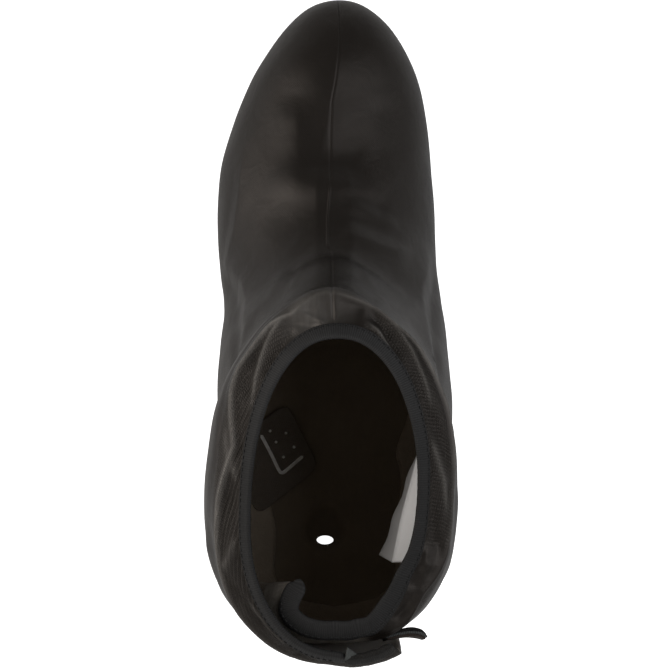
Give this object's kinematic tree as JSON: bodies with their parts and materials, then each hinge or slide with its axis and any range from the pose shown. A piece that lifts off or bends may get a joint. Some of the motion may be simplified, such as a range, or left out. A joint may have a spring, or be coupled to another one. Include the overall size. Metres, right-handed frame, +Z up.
{
  "type": "winter overshoe",
  "caption": "Left winter overshoe worn over a shoe: fabric upper and shaft with a lapped, bound collar, hook tab and studded outsole.",
  "frame": {"origin": "on the floor under the heel, at the middle of the heel's flat spot", "axes": "+Z up, +Y from heel to toe, +X towards the inner (medial) side of the left foot"},
  "size_m": [0.1154, 0.311, 0.1707],
  "materials": {
    "coated_fabric": "satin coating, very fine plain weave",
    "outsole_rubber": "matt, fine grain",
    "tab_webbing": "matt webbing",
    "binding_tape": "ribbed elastic tape"
  },
  "bodies": {
    "root": {"upper": "coated_fabric", "outsole": "outsole_rubber", "hook_tab": "tab_webbing", "collar_binding": "binding_tape"}
  },
  "joints": []
}
